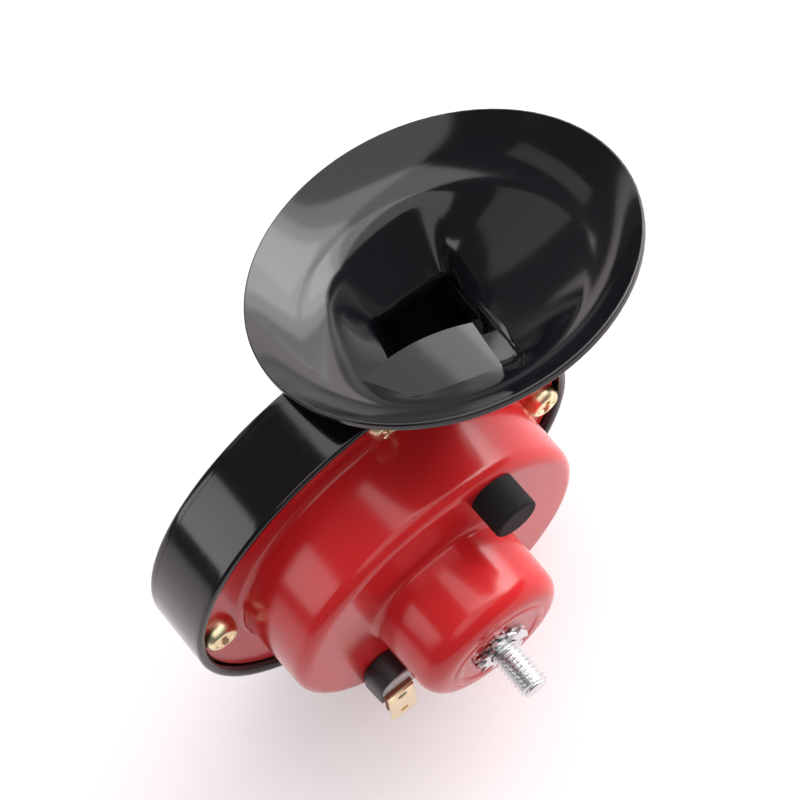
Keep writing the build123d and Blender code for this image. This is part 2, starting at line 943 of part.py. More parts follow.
with BuildPart() as terminal_washer:
    with BuildSketch(terminal_plane(plate_y)):
        Circle(plate_r)
        with Locations((post_at, strip_side)):
            Circle(post_r + thread_play, mode=Mode.SUBTRACT)
    extrude(amount=plate_t)
save(terminal_washer.part, "terminal_washer")

with BuildPart() as fibre_strip:
    with BuildSketch(terminal_plane(fibre_y)):
        with Locations((fibre_length / 2, strip_side)):
            Rectangle(fibre_length, fibre_w)
        with Locations((post_at, strip_side)):
            Circle(post_r + thread_play, mode=Mode.SUBTRACT)
    extrude(amount=fibre_t)
save(fibre_strip.part, "fibre_strip")

with BuildPart() as spade_terminal:
    with BuildSketch(terminal_plane(blade_y)):
        with BuildLine():
            Polyline(
                (0, strip_side - blade_w / 2),
                (blade_length - blade_chamfer, strip_side - blade_w / 2),
                (blade_length, strip_side - blade_w / 2 + blade_chamfer),
                (blade_length, strip_side + blade_w / 2 - blade_chamfer),
                (blade_length - blade_chamfer, strip_side + blade_w / 2),
                (0, strip_side + blade_w / 2),
                close=True,
            )
        make_face()
        with Locations((post_at, strip_side)):
            Circle(post_r + thread_play, mode=Mode.SUBTRACT)
        with Locations((blade_length - blade_hole_from_tip, strip_side)):
            Circle(blade_hole_r, mode=Mode.SUBTRACT)
    extrude(amount=blade_t)
save(spade_terminal.part, "spade_terminal")

inward_plane_x = Vector(-post_spot[0], 0, -post_spot[1]).normalized()


def post_plane(y):
    """A plane at the terminal's rivet that faces the stud end, its local x towards the coil."""
    return Plane(origin=(post_spot[0], y, post_spot[1]), x_dir=inward_plane_x, z_dir=(0, -1, 0))


with BuildPart() as inner_washer:
    with BuildSketch(post_plane(drum_inner_y)):
        Circle(inner_washer_r)
        Circle(post_r + thread_play, mode=Mode.SUBTRACT)
    extrude(amount=-inner_washer_t)
save(inner_washer.part, "inner_washer")

with BuildPart() as inner_tag:
    with BuildSketch(post_plane(tag_y)):
        with Locations((tag_length / 2 - tag_w / 2, 0)):
            RectangleRounded(tag_length, tag_w, tag_corner_r)
        Circle(post_r + thread_play, mode=Mode.SUBTRACT)
    extrude(amount=-tag_t)
save(inner_tag.part, "inner_tag")

with BuildPart() as terminal_rivet:
    with BuildSketch(post_plane(post_y)):
        Circle(post_r)
    extrude(amount=-(tag_y + tag_t - post_y))
    with BuildSketch(post_plane(tag_y + tag_t)):
        Circle(post_head_r)
    extrude(amount=-post_head_h)
    fillet(terminal_rivet.edges().group_by(Axis.Y)[-1], post_head_edge_r)
save(terminal_rivet.part, "terminal_rivet")

# ---------------------------------------------------------------- coil leads


def lead(points):
    """A round wire along a path with rounded bends."""
    with BuildPart() as wire:
        with BuildLine() as path:
            FilletPolyline(*points, radius=lead_bend_r)
        with BuildSketch(Plane(origin=path.line @ 0, z_dir=path.line % 0)):
            Circle(lead_r)
        sweep(path=path.line)
    return wire.part


def at_angle(radius, angle, y):
    """The point in space at a radius and angle about the axis, at a place along it."""
    x, z = polar(radius, angle)
    return (x, y, z)


winding_touch_r = winding_r + lead_touch
supply_y = tag_y + tag_t + lead_r
supply_r = post_point.length - tag_length + tag_w / 2 + 2 * lead_r
supply_lead = lead(
    [
        at_angle(winding_touch_r, post_angle + lead_sweep, supply_y),
        at_angle(supply_r, post_angle + lead_sweep, supply_y),
        at_angle(supply_r, post_angle, supply_y),
    ]
)
save(supply_lead, "supply_lead")

tail_y = moving_arm_y - lead_r
tail_x = (moving_left + stack_left) / 2
contact_lead = lead(
    [
        at_angle(winding_touch_r, contact_lead_angle, supply_y),
        at_angle(winding_touch_r + 4 * lead_bend_r, contact_lead_angle, supply_y),
        (tail_x, tail_y, strip_z - strip_w),
        (tail_x, tail_y, strip_z),
    ]
)
save(contact_lead, "contact_lead")
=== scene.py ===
import json
from math import cos, pi, radians, sin

import bmesh
import bpy
import numpy as np
from mathutils import Matrix

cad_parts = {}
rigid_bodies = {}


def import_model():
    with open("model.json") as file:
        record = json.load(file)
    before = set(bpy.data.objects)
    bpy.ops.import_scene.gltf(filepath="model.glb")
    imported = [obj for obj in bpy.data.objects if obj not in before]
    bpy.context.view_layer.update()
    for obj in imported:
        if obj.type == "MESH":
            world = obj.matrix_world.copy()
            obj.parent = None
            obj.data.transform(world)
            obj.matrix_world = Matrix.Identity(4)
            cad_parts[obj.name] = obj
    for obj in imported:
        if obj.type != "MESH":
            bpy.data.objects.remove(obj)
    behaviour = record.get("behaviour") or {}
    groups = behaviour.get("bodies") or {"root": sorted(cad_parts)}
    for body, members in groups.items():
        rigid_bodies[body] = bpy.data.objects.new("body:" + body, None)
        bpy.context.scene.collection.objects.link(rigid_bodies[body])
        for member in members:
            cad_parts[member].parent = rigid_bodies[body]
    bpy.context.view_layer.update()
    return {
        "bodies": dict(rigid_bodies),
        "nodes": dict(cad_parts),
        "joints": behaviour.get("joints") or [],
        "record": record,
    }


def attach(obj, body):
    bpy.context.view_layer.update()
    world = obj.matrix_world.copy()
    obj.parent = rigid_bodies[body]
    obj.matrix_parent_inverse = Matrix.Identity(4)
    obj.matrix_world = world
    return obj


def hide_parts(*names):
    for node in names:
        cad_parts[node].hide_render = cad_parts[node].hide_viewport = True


bl_info = {
    "name": "Snail Horn",
    "version": (1, 0, 0),
    "blender": (4, 5, 0),
    "location": "3D View > Sidebar > Snail Horn",
    "description": "Dresses the solids of a car's snail horn with finished surfaces",
    "category": "Add Mesh",
}

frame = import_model()

MM = 0.001
# Points nearer than WELD metres become one, and edges under SLIVER metres go.
WELD, SLIVER = 2e-6, 1e-7
# How far apart faces lie that would otherwise share a plane, in millimetres.
SEAT = 0.02
# The angle between faces, in degrees, from which an edge shows as sharp.
SHARP = 32.0


# ------------------------------------------------------------------ sizes and colours

def length(name, description, default):
    """A length in millimetres that a user can change."""
    return bpy.props.FloatProperty(
        name=name, description=description, default=default, min=0.0, precision=3
    )


def colour(name, description, default):
    """A colour that a user can change."""
    return bpy.props.FloatVectorProperty(
        name=name, description=description, default=default, subtype="COLOR", size=3,
        min=0.0, max=1.0,
    )


class HornSizes(bpy.types.PropertyGroup):
    """The lengths of the horn's forms"""

    lip_r: length("Lip radius", "Outside radius of the moulded cup", 46.0)
    lip_wall: length("Lip wall", "Wall of the moulded cup", 1.8)
    lip_y: length("Lip place", "Where the lip's edge lies along the axis", 35.5)
    seam_y: length("Seam place", "Where the cover is welded to the cup", 49.6)
    mouth_r: length("Mouth radius", "Radius over the bell's rim", 37.5)
    bell_wall: length("Bell wall", "Wall of the bell and duct", 1.9)
    rim_wall: length("Rim wall", "Height of the flat edge of the bell's rim", 1.5)
    rim_round: length("Rim round", "Radius of the two corners of that edge", 0.35)
    brim_r: length("Brim radius", "Radius of the crease between brim and funnel", 25.8)
    brim_depth: length("Brim depth", "Depth of that crease below the mouth", 8.0)
    neck_corner_r: length("Neck corner", "Radius of the neck's corners", 2.6)
    sheet: length("Sheet", "Thickness of the pressed steel", 1.2)
    boss_r: length("Boss radius", "Radius of the shell's boss", 16.1)
    drum_r: length("Drum radius", "Radius of the shell's drum", 34.0)
    flange_r: length("Flange radius", "Radius of the shell's flange", 43.9)
    boss_y: length("Boss place", "Where the boss's face lies along the axis", 1.6)
    drum_y: length("Drum place", "Where the drum's face lies along the axis", 18.9)
    flange_y: length("Flange place", "Where the flange's face lies along the axis", 37.4)
    stud_r: length("Stud radius", "Outside radius of the stud's thread", 3.0)
    stud_length: length("Stud length", "Length of the stud in front of the washers", 9.6)
    thread_pitch: length("Thread pitch", "Pitch of the stud's thread", 1.0)
    thread_depth: length("Thread depth", "Depth of the stud's thread", 0.58)
    washer_r: length("Washer radius", "Radius over the lock washers' teeth", 6.0)
    washer_t: length("Washer thickness", "Thickness of one lock washer", 0.75)
    screw_circle_r: length("Screw circle", "Radius of the circle of flange screws", 40.3)
    screw_head_r: length("Screw head radius", "Radius of a flange screw's head", 3.8)
    screw_head_h: length("Screw head height", "Height of a flange screw's head", 2.6)
    cap_r: length("Cap radius", "Radius of the rubber cap", 4.7)
    cap_height: length("Cap height", "Height of the rubber cap", 7.5)
    block_r: length("Block radius", "Radius of the terminal block's round end", 4.8)
    block_height: length("Block height", "Height of the terminal block", 5.4)
    blade_w: length("Blade width", "Width of the spade terminal", 6.3)
    blade_length: length("Blade length", "Length of the spade terminal", 14.0)


class HornColours(bpy.types.PropertyGroup):
    """The colours of the horn's finishes and of the floor"""

    moulding: colour("Moulding", "The trumpet's plastic", (0.0042, 0.0036, 0.0050))
    red: colour("Red coat", "The shell's coating", (0.60, 0.019, 0.021))
    zinc: colour("Zinc", "Bright zinc on the stud and washers", (0.72, 0.73, 0.74))
    yellow_zinc: colour("Yellow zinc", "Passivated zinc on the screws", (0.88, 0.82, 0.50))
    brass: colour("Brass", "The spade terminal", (0.98, 0.82, 0.52))
    fibre: colour("Fibre", "Hard fibre strips and insulators", (0.22, 0.045, 0.022))
    rubber: colour("Rubber", "The soft cap", (0.009, 0.008, 0.009))
    washer_grey: colour("Grey washer", "The terminal's insulating washer", (0.45, 0.44, 0.43))
    copper: colour("Copper", "The coil's enamelled wire", (0.55, 0.17, 0.06))
    steel: colour("Steel", "Springs, diaphragm and core", (0.50, 0.50, 0.51))
    nylon: colour("Nylon", "The coil's bobbin", (0.76, 0.72, 0.62))
    # The backdrop's pink tint is painted reflection: lit floor clips to white, so the tint shows
    # only in the shadow, as the shell's red bounce light.
    backdrop: colour("Backdrop", "Floor and background", (0.97, 0.89, 0.90))


# ------------------------------------------------------------------ meshes from arrays

def quads(rows, columns, loop_rows=False, loop_columns=False):
    """Faces of a grid of points, row by row; a loop joins its last line to its first."""
    i = np.arange(rows if loop_rows else rows - 1)
    j = np.arange(columns if loop_columns else columns - 1)
    i, j = [a.ravel() for a in np.meshgrid(i, j, indexing="ij")]
    k, l = (i + 1) % rows, (j + 1) % columns
    return np.stack([i * columns + j, i * columns + l, k * columns + l, k * columns + j], 1)


def bare_piece(name, patches, finish=None, sharp=SHARP):
    """One object from patches of points (in millimetres) and faces, welded and turned outwards."""
    points, faces, start = [], [], 0
    for patch_points, patch_faces in patches:
        points.append(np.reshape(patch_points, (-1, 3)))
        faces += (np.asarray(patch_faces) + start).tolist()
        start += len(points[-1])
    mesh = bpy.data.meshes.new(name)
    mesh.from_pydata(np.concatenate(points) * MM, [], faces)
    work = bmesh.new()
    work.from_mesh(mesh)
    bmesh.ops.remove_doubles(work, verts=work.verts, dist=WELD)
    bmesh.ops.dissolve_degenerate(work, edges=work.edges, dist=SLIVER)
    bmesh.ops.recalc_face_normals(work, faces=work.faces)
    work.to_mesh(mesh)
    work.free()
    mesh.shade_smooth()
    mesh.set_sharp_from_angle(angle=radians(sharp))
    piece = bpy.data.objects.new(name, mesh)
    bpy.context.scene.collection.objects.link(piece)
    if finish is not None:
        mesh.materials.append(finish)
    return piece


def put(name, patches, slot, replaced, sharp=SHARP):
    """A piece of the horn in its slot's finish, shown in place of the solids it replaces."""
    piece = bare_piece(name, patches, frame["finishes"][slot], sharp)
    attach(piece, "root")
    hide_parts(*replaced)
    return piece


def arc_corner(before, corner, after, radius, steps):
    """Points of a round of the given radius in a corner: centre plus radius times a unit arc."""
    a = np.subtract(before, corner)
    b = np.subtract(after, corner)
    a, b = a / np.linalg.norm(a), b / np.linalg.norm(b)
    half = np.arccos(np.clip(a @ b, -1, 1)) / 2
    centre = corner + (a + b) / np.linalg.norm(a + b) * radius / np.sin(half)
    first, last = corner + a * radius / np.tan(half), corner + b * radius / np.tan(half)
    t = np.linspace(0, 1, steps)[:, None]
    spread = pi - 2 * half
    arc = (np.sin((1 - t) * spread) * (first - centre) + np.sin(t * spread) * (last - centre))
    return centre + arc / np.sin(spread)


def rounded(points, radii, steps=8):
    """A closed line through corners, each rounded by its own radius."""
    points = np.asarray(points, float)
    parts = []
    for k, radius in enumerate(radii):
        before, after = points[k - 1], points[(k + 1) % len(points)]
        if radius > 0:
            parts.append(arc_corner(before, points[k], after, radius, steps))
        else:
            parts.append(points[k][None])
    return np.concatenate(parts)


def finer(line, step):
    """The same closed line with its long stretches divided to about the given step."""
    parts = []
    for k in range(len(line)):
        a, b = line[k], line[(k + 1) % len(line)]
        count = max(1, int(np.ceil(np.linalg.norm(b - a) / step)))
        parts.append(a + (b - a) * np.arange(count)[:, None] / count)
    return np.concatenate(parts)


def turned(profile, count, centre=(0.0, 0.0)):
    """A closed profile (radius, y) carried round an axis along Y: x = r cos a, z = r sin a."""
    a = np.linspace(0, 2 * pi, count, endpoint=False)
    r, y = profile[:, 0][:, None], profile[:, 1][:, None]
    points = np.stack([centre[0] + r * np.cos(a), y + 0 * a, centre[1] + r * np.sin(a)], -1)
    return points, quads(len(profile), count, True, True)


def along_y(outline, y):
    """Points of an (x, z) outline at the place y."""
    return np.stack([outline[:, 0], np.full(len(outline), y), outline[:, 1]], 1)


def plate(outline, low, high, edge, hole=None, taper=0.0):
    """A flat piece between two places along Y, its edges rounded.

    Each ring is the outline pulled in towards its own inside by
    edge * (1 - sin b) while its place moves by edge * (1 - cos b), and the low end is pulled
    in by the taper as well; hole is (x, z, radius).
    """
    step = np.roll(outline, -1, 0) - np.roll(outline, 1, 0)
    inward = np.stack([-step[:, 1], step[:, 0]], 1)
    inward /= np.linalg.norm(inward, axis=1)[:, None]
    after = np.roll(outline, -1, 0)
    inward *= np.sign(np.sum(outline[:, 0] * after[:, 1] - after[:, 0] * outline[:, 1]))
    bends = np.linspace(0, pi / 2, 5)
    pulls, lifts = edge * (1 - np.sin(bends)), edge * (1 - np.cos(bends))
    rings = [
        along_y(outline + inward * (taper + pull), low + lift)
        for pull, lift in zip(pulls, lifts)
    ]
    rings += [
        along_y(outline + inward * pull, high - lift)
        for pull, lift in zip(pulls[::-1], lifts[::-1])
    ]
    if hole is None:
        middle = outline.mean(0)
        inner = np.tile(middle, (len(outline), 1))
    else:
        middle = np.array(hole[:2])
        turn = np.arctan2(outline[:, 1] - middle[1], outline[:, 0] - middle[0])
        inner = middle + hole[2] * np.stack([np.cos(turn), np.sin(turn)], 1)
    rings = [along_y(inner, low)] + rings + [along_y(inner, high)]
    points = np.stack(rings)
    return points, quads(len(rings), len(outline), hole is not None, True)


# ------------------------------------------------------------------ the horn's own forms

MOUTH = np.array([39.40, 50.50, 45.50])
LEAN_SIDE, LEAN_FRONT = radians(10.7), radians(20.7)
OUT = np.array([0.0, sin(LEAN_FRONT), cos(LEAN_FRONT)]) * cos(LEAN_SIDE)
OUT[0] = sin(LEAN_SIDE)
ACROSS = np.cross([0.0, 1.0, 0.0], OUT)
ACROSS /= np.linalg.norm(ACROSS)
FRONTWARD = np.cross(OUT, ACROSS)
# Corners (across, frontward, depth) of the bell's neck, of the knee below it and of the room
# that is taken out of the cup there.
NECK = np.array([(-20.0, -11.2, 12.6), (1.0, -16.5, 16.6), (6.4, 16.4, 21.6), (-12.2, 16.1, 19.2)])
KNEE = np.array([(-18.3, 3.4, 17.7), (5.6, -7.0, 18.5), (6.2, 16.4, 23.0), (-12.0, 16.1, 20.8)])
ROOM = np.array([(-18.3, 3.4, 17.7), (5.6, -7.0, 17.7), (5.4, 14.6, 17.7), (-13.4, 15.0, 17.7)])
# Where the corners' arcs begin and end on the mouth's circles, in degrees.
ARC_ENDS = np.array([203.0, 220.0, 270.0, 287.0, 420.0, 437.0, 478.0, 495.0])
CORNER_STEPS, SIDE_STEPS = 12, 30
DEEP_ROWS, RISE_ROWS, KNEE_ROWS, FUNNEL_ROWS, BEND_ROWS, FLARE_ROWS = 12, 15, 6, 12, 11, 25
THIN_ROWS, THIN_WALL = slice(20, 44), 0.9
DUCT_FLOOR_Y, DUCT_ROOF_Y, ROOF_FALL = 44.0, 55.7, 1.0
DUCT_START_R, DUCT_END_R = 7.4, 31.0
DUCT_START_W, DUCT_END_W, DUCT_CORNER_R = 9.6, 19.8, 2.4
DUCT_IN_BELL = (0.70, 0.98)
BRIM_SAG = 1.1
SCREW_ANGLES = (-18.0, 72.0, 162.0, 252.0)
SCREW_TURNS = (23.0, 58.0, 11.0, 37.0)
TUNING_R, TUNING_TURN = 28.2, radians(49.0)
TUNING = (TUNING_R * cos(TUNING_TURN), TUNING_R * sin(TUNING_TURN))
TERMINAL = np.array([-20.25, -15.4])
BLADE_TURN = radians(-103.0)
ALONG_BLADE = np.array([cos(BLADE_TURN), sin(BLADE_TURN)])
BESIDE_BLADE = np.array([-ALONG_BLADE[1], ALONG_BLADE[0]])
STRIP_SIDE = -1.2
RIVET_HOLE_R, LATCH_HOLE_R = 1.23, 0.9
BLADE_T, STRIP_T, RING_T = 0.8, 0.8, 0.4


def four_sided(corners, radius):
    """A rounded four-sided section, each corner and side with its own fixed share of points."""
    parts = []
    rounds = [
        arc_corner(corners[k - 1], corners[k], corners[(k + 1) % 4], radius, CORNER_STEPS + 1)
        for k in range(4)
    ]
    t = np.linspace(0, 1, SIDE_STEPS, endpoint=False)[:, None]
    for k in range(4):
        parts.append(rounds[k][:-1])
        parts.append(rounds[k][-1] * (1 - t) + rounds[(k + 1) % 4][0] * t)
    return np.concatenate(parts)


def matching_angles():
    """Angles on a circle, in radians, that pair with the points of a four-sided section."""
    parts = []
    ends = np.append(ARC_ENDS, ARC_ENDS[0] + 360)
    for k in range(8):
        count = CORNER_STEPS if k % 2 == 0 else SIDE_STEPS
        parts.append(np.linspace(ends[k], ends[k + 1], count, endpoint=False))
    return np.radians(np.concatenate(parts))


def mouth_ring():
    """The unit circle at those angles."""
    angles = matching_angles()
    return np.stack([np.cos(angles), np.sin(angles)], 1)


def on_mouth(flat, depth):
    """Points (u, v) of a plane at a depth below the mouth, in space."""
    level = MOUTH + flat[..., :1] * ACROSS + flat[..., 1:2] * FRONTWARD
    return level - np.asarray(depth)[..., None] * OUT


def mouth_circle(radius, depth):
    """A circle about the mouth's axis at a depth below the mouth."""
    ring = mouth_ring()
    return on_mouth(ring * radius, np.full(len(ring), depth))


def blend(first, last, shares):
    """Rows that pass in straight lines from one ring to another at the given shares."""
    t = shares[:, None, None]
    return first * (1 - t) + last * t


def spiral_section(share):
    """The duct's section at a share of its turn: a four-sided shape carried along a spiral."""
    turn = radians(-360 * (1 - share))
    middle = DUCT_START_R + (DUCT_END_R - DUCT_START_R) * share
    half = (DUCT_START_W + (DUCT_END_W - DUCT_START_W) * share) / 2
    roof = DUCT_ROOF_Y - ROOF_FALL * (1 - share)
    corners = np.array([(-half, DUCT_FLOOR_Y), (half, DUCT_FLOOR_Y), (half, roof), (-half, roof)])
    flat = four_sided(corners, DUCT_CORNER_R)
    out = np.array([cos(turn), 0.0, sin(turn)])
    return out * (middle + flat[:, :1]) + np.array([0.0, 1.0, 0.0]) * flat[:, 1:2]


def leaning_ring(corners, radius):
    """A rounded four-sided ring under the mouth: its depth is a + b u + c v + d u v.

    The four factors are those that give the corners their own depths.
    """
    def terms(points):
        """The terms 1, u, v and u v of each point."""
        u, v = points[:, 0], points[:, 1]
        return np.stack([np.ones(len(points)), u, v, u * v], 1)

    flat = four_sided(corners[:, :2], radius)
    return on_mouth(flat, terms(flat) @ np.linalg.solve(terms(corners), corners[:, 2]))


def spiral_patch(wall):
    """The duct's outside on the cover: its section, grown by the wall, along the spiral."""
    rows = np.stack([spiral_section(share) for share in np.linspace(0.02, 0.99, 150)])
    middle = rows.mean(1, keepdims=True)
    away = rows - middle
    size = np.linalg.norm(away, axis=2, keepdims=True)
    return capped(middle + away * (1 + wall / size))


def shelf_patch():
    """The shelf at the bell's foot: a sheet whose height is level on the left in x.

    Past x = 20 the height falls away as (x - 20) squared over 62.  The edge over the duct is
    the crest, a parabola in x, and the front edge leaves its straight line below x = 27 as a
    power of 1.8.  The sheet thickens towards the crest, and its other edges lie inside the
    bell's wall.
    """
    s = np.linspace(0, 1, 60)[:, None]
    t = np.linspace(0, 1, 30)[None, :]
    left, right, widening = 13.6, 34.9, 1.4
    crest_x, crest_y, front_x, front_y, fall_x = 14.0, 44.2, 27.0, 29.3, 20.0
    x = left + (right + widening * t - left) * s
    crest = crest_y - 0.0088 * (x - crest_x) ** 2
    front = front_y + 0.115 * np.maximum(front_x - x, 0.0) ** 1.8
    y = front + (crest - front) * t
    fall = np.maximum(x - fall_x, 0.0) ** 2 / 62.0
    z = 41.6 + 0.05 * (x - crest_x) + 0.22 * (y - 40.0) - fall
    top = np.stack([x, y, z], -1)
    edge_t, crest_t = 1.4, 4.4
    under = top.copy()
    under[..., 2] -= edge_t + crest_t * t ** 2
    return capped(np.concatenate([top, under[:, ::-1]], 1))


def bell_rows(sizes):
    """Rows of points of the duct's last stretch and the bell's inside, from deep to the rim.

    From the duct's end the rows pass straight to the knee and from there to the neck.  Above
    the neck each meridian is a straight line to the crease circle and a shallow arc to the
    rim, and a quadratic curve rounds the crease, more on the far left than on the right.
    """
    ring = mouth_ring()
    neck = leaning_ring(NECK, sizes.neck_corner_r)
    knee = leaning_ring(KNEE, sizes.neck_corner_r)
    crease = mouth_circle(sizes.brim_r, sizes.brim_depth)
    deep = np.stack([spiral_section(share) for share in np.linspace(*DUCT_IN_BELL, DEEP_ROWS)])
    rise = blend(spiral_section(1.0), knee, np.linspace(0, 1, RISE_ROWS + 1)[:-1])
    turn = blend(knee, neck, np.linspace(0, 1, KNEE_ROWS + 1)[:-1])

    softness = 0.5 + 0.5 * np.cos(matching_angles() - radians(165.0))
    leave_by = 1.2 + 3.0 * softness ** 2
    span = np.linalg.norm(crease - neck, axis=1)
    leave = crease + (neck - crease) * (leave_by / span)[:, None]
    funnel = blend(neck, leave, np.linspace(0, 1, FUNNEL_ROWS + 2)[1:-1])

    reach = sizes.mouth_r - sizes.rim_round - sizes.brim_r
    start = (1.2 + 2.5 * softness ** 2) / reach

    def brim(share):
        """A ring of the brim at a share of its width: a chord with a sine of sag under it."""
        radius = sizes.brim_r + reach * share
        depth = sizes.brim_depth * (1 - share) + BRIM_SAG * np.sin(pi * share)
        return on_mouth(ring * radius[:, None], depth)

    land = brim(start)
    s = np.linspace(0, 1, BEND_ROWS)[:, None, None]
    bend = leave * (1 - s) ** 2 + 2 * crease * s * (1 - s) + land * s ** 2
    shares = np.linspace(0, 1, FLARE_ROWS + 1)[1:]
    flare = np.stack([brim(start + (1 - start) * share) for share in shares])
    return np.concatenate([deep, rise, turn, neck[None], funnel, bend, flare])


def outward(rows, sample):
    """Unit normals of a looped grid, by the cross product of its two directions.

    They point away from the middle of the sample row.
    """
    along = np.gradient(rows, axis=0)
    around = np.roll(rows, -1, 1) - np.roll(rows, 1, 1)
    normal = np.cross(around, along)
    normal /= np.maximum(np.linalg.norm(normal, axis=2, keepdims=True), 1e-9)
    if np.sum(normal[sample] * (rows[sample] - rows[sample].mean(0))) < 0:
        normal = -normal
    return normal


def bell_patch(sizes):
    """The duct and bell as one closed wall: inside rows, a squared rim, and outside rows.

    Towards the rim the wall's direction turns from the surface's normal to straight down.
    """
    inside = bell_rows(sizes)
    normal = outward(inside, -20)
    last = FLARE_ROWS + 1
    share = np.linspace(0, 1, last)
    wall = np.full(len(inside), sizes.bell_wall)
    wall[THIN_ROWS] = THIN_WALL
    wall[-last:] += (sizes.rim_wall - sizes.bell_wall) * share
    lean = np.zeros(len(inside))
    lean[-last:] = share ** 2 * (3 - 2 * share)
    way = normal * (1 - lean)[:, None, None] - OUT * lean[:, None, None]
    way /= np.linalg.norm(way, axis=2, keepdims=True)
    outside = inside + way * wall[:, None, None]

    edge_r, low = sizes.mouth_r, sizes.rim_wall
    band, band_depth, top_depth = 3.0, 0.6, -0.15
    inner = np.array([edge_r - band, band_depth])
    top, foot = np.array([edge_r, top_depth]), np.array([edge_r, low])
    corners = [(inner, top, foot), (top, foot, inner + [0.0, low])]
    line = np.concatenate([arc_corner(*corner, sizes.rim_round, 6) for corner in corners])
    ring = mouth_ring()
    depth = np.broadcast_to(line[:, 1:], (len(line), len(ring)))
    rim = on_mouth(ring * line[:, 0][:, None, None], depth)
    loop = np.concatenate([inside, rim, outside[::-1]])
    return loop, quads(len(loop), loop.shape[1], True, True)


def bell_rooms(sizes):
    """The two rooms, the duct's and the bell's, that are taken out of the cup and the cover.

    Each is a little larger than the form it makes room for, and the bell's goes on past the
    crease along the brim.
    """
    duct_growth, bell_growth = 1.2, 0.5
    brim_past, brim_up = 9.0, 5.6
    crease = mouth_circle(sizes.brim_r, sizes.brim_depth)
    neck = leaning_ring(ROOM, sizes.neck_corner_r)
    deep = np.stack([spiral_section(share) for share in np.linspace(*DUCT_IN_BELL, DEEP_ROWS)])
    shares = np.linspace(0, 1, 12)[:-1]
    rise = blend(spiral_section(1.0), neck, shares)
    duct = np.concatenate([deep, rise, blend(neck, crease, shares), crease[None]])

    wide = leaning_ring(NECK, sizes.neck_corner_r)
    brim = mouth_circle(sizes.brim_r + brim_past, sizes.brim_depth - brim_up)
    below = blend(wide, crease, np.linspace(-0.12, 1, 12))
    above = blend(crease, brim, np.array([0.4, 0.7, 1.0]))
    bell = np.concatenate([below, above])
    return [
        duct + outward(duct, -5) * duct_growth,
        bell + outward(bell, -5) * bell_growth,
    ]


def capped(rows):
    """A tube of rows closed by a fan at each end."""
    first = np.repeat(rows[:1].mean(1, keepdims=True), rows.shape[1], 1)
    last = np.repeat(rows[-1:].mean(1, keepdims=True), rows.shape[1], 1)
    full = np.concatenate([first, rows, last])
    return full, quads(len(full), rows.shape[1], False, True)


def cut(piece, cutter):
    """Take the cutter's room out of a piece and remove the cutter."""
    tool = piece.modifiers.new("cut", "BOOLEAN")
    tool.operation = "DIFFERENCE"
    tool.solver = "EXACT"
    tool.object = cutter
    graph = bpy.context.evaluated_depsgraph_get()
    result = bpy.data.meshes.new_from_object(piece.evaluated_get(graph))
    piece.modifiers.clear()
    old = piece.data
    piece.data = result
    result.name = piece.name
    bpy.data.meshes.remove(old)
    result.shade_smooth()
    result.set_sharp_from_angle(angle=radians(32.0))


def circle(radius):
    """Points round a flat circle."""
    a = np.linspace(0, 2 * pi, 64, endpoint=False)
    return np.stack([radius * np.cos(a), radius * np.sin(a)], 1)


def thread_patch(radius, depth, pitch, tip, foot, chamfer):
    """A threaded rod: the radius is a triangle wave of (y / pitch - angle / 2 pi).

    The wave's crest and root are cut flat, and it fades under a cone at the tip.
    """
    rows = int((foot - tip) / pitch * 20)
    a = np.linspace(0, 2 * pi, 96, endpoint=False)[None, :]
    y = np.linspace(tip, foot, rows)[:, None]
    wave = np.abs(((y / pitch - a / (2 * pi)) % 1.0) * 2 - 1)
    profile = np.clip((wave - 0.12) / 0.76, 0, 1)
    r = radius - depth * (1 - profile)
    r = np.minimum(r, radius - chamfer + (y - tip))
    points = np.stack([r * np.cos(a), y + 0 * a, r * np.sin(a)], -1)
    return capped(points)


def toothed_washer(sizes, y, turn):
    """A lock washer: a ring whose edge steps out into teeth, each twisted about its radius."""
    count, teeth = 240, 10
    a = np.linspace(0, 2 * pi, count, endpoint=False)[None, :]
    ring_r, hole_r = 4.55, sizes.stud_r + 0.12
    phase = ((a / (2 * pi) * teeth + turn) % 1.0) - 0.5
    tooth = np.clip((0.30 - np.abs(phase)) / 0.05, 0, 1)
    edge_r = ring_r + (sizes.washer_r - ring_r) * tooth
    share = np.array([0.0, 0.12, 0.45, 0.7, 0.85, 1.0])[:, None]
    r = hole_r + (edge_r - hole_r) * share
    flat_r, twist_room = 4.1, 0.25
    twist = np.clip((r - flat_r) / (sizes.washer_r - flat_r), 0, 1) * tooth * phase
    half = (sizes.washer_t - twist_room) / 2
    middle = y + sizes.washer_t / 2 + twist
    points = np.stack([r * np.cos(a), middle, r * np.sin(a)], -1)
    top, bottom = points.copy(), points[::-1].copy()
    top[..., 1] -= half
    bottom[..., 1] += half
    loop = np.concatenate([top, bottom])
    return loop, quads(len(loop), count, True, True)


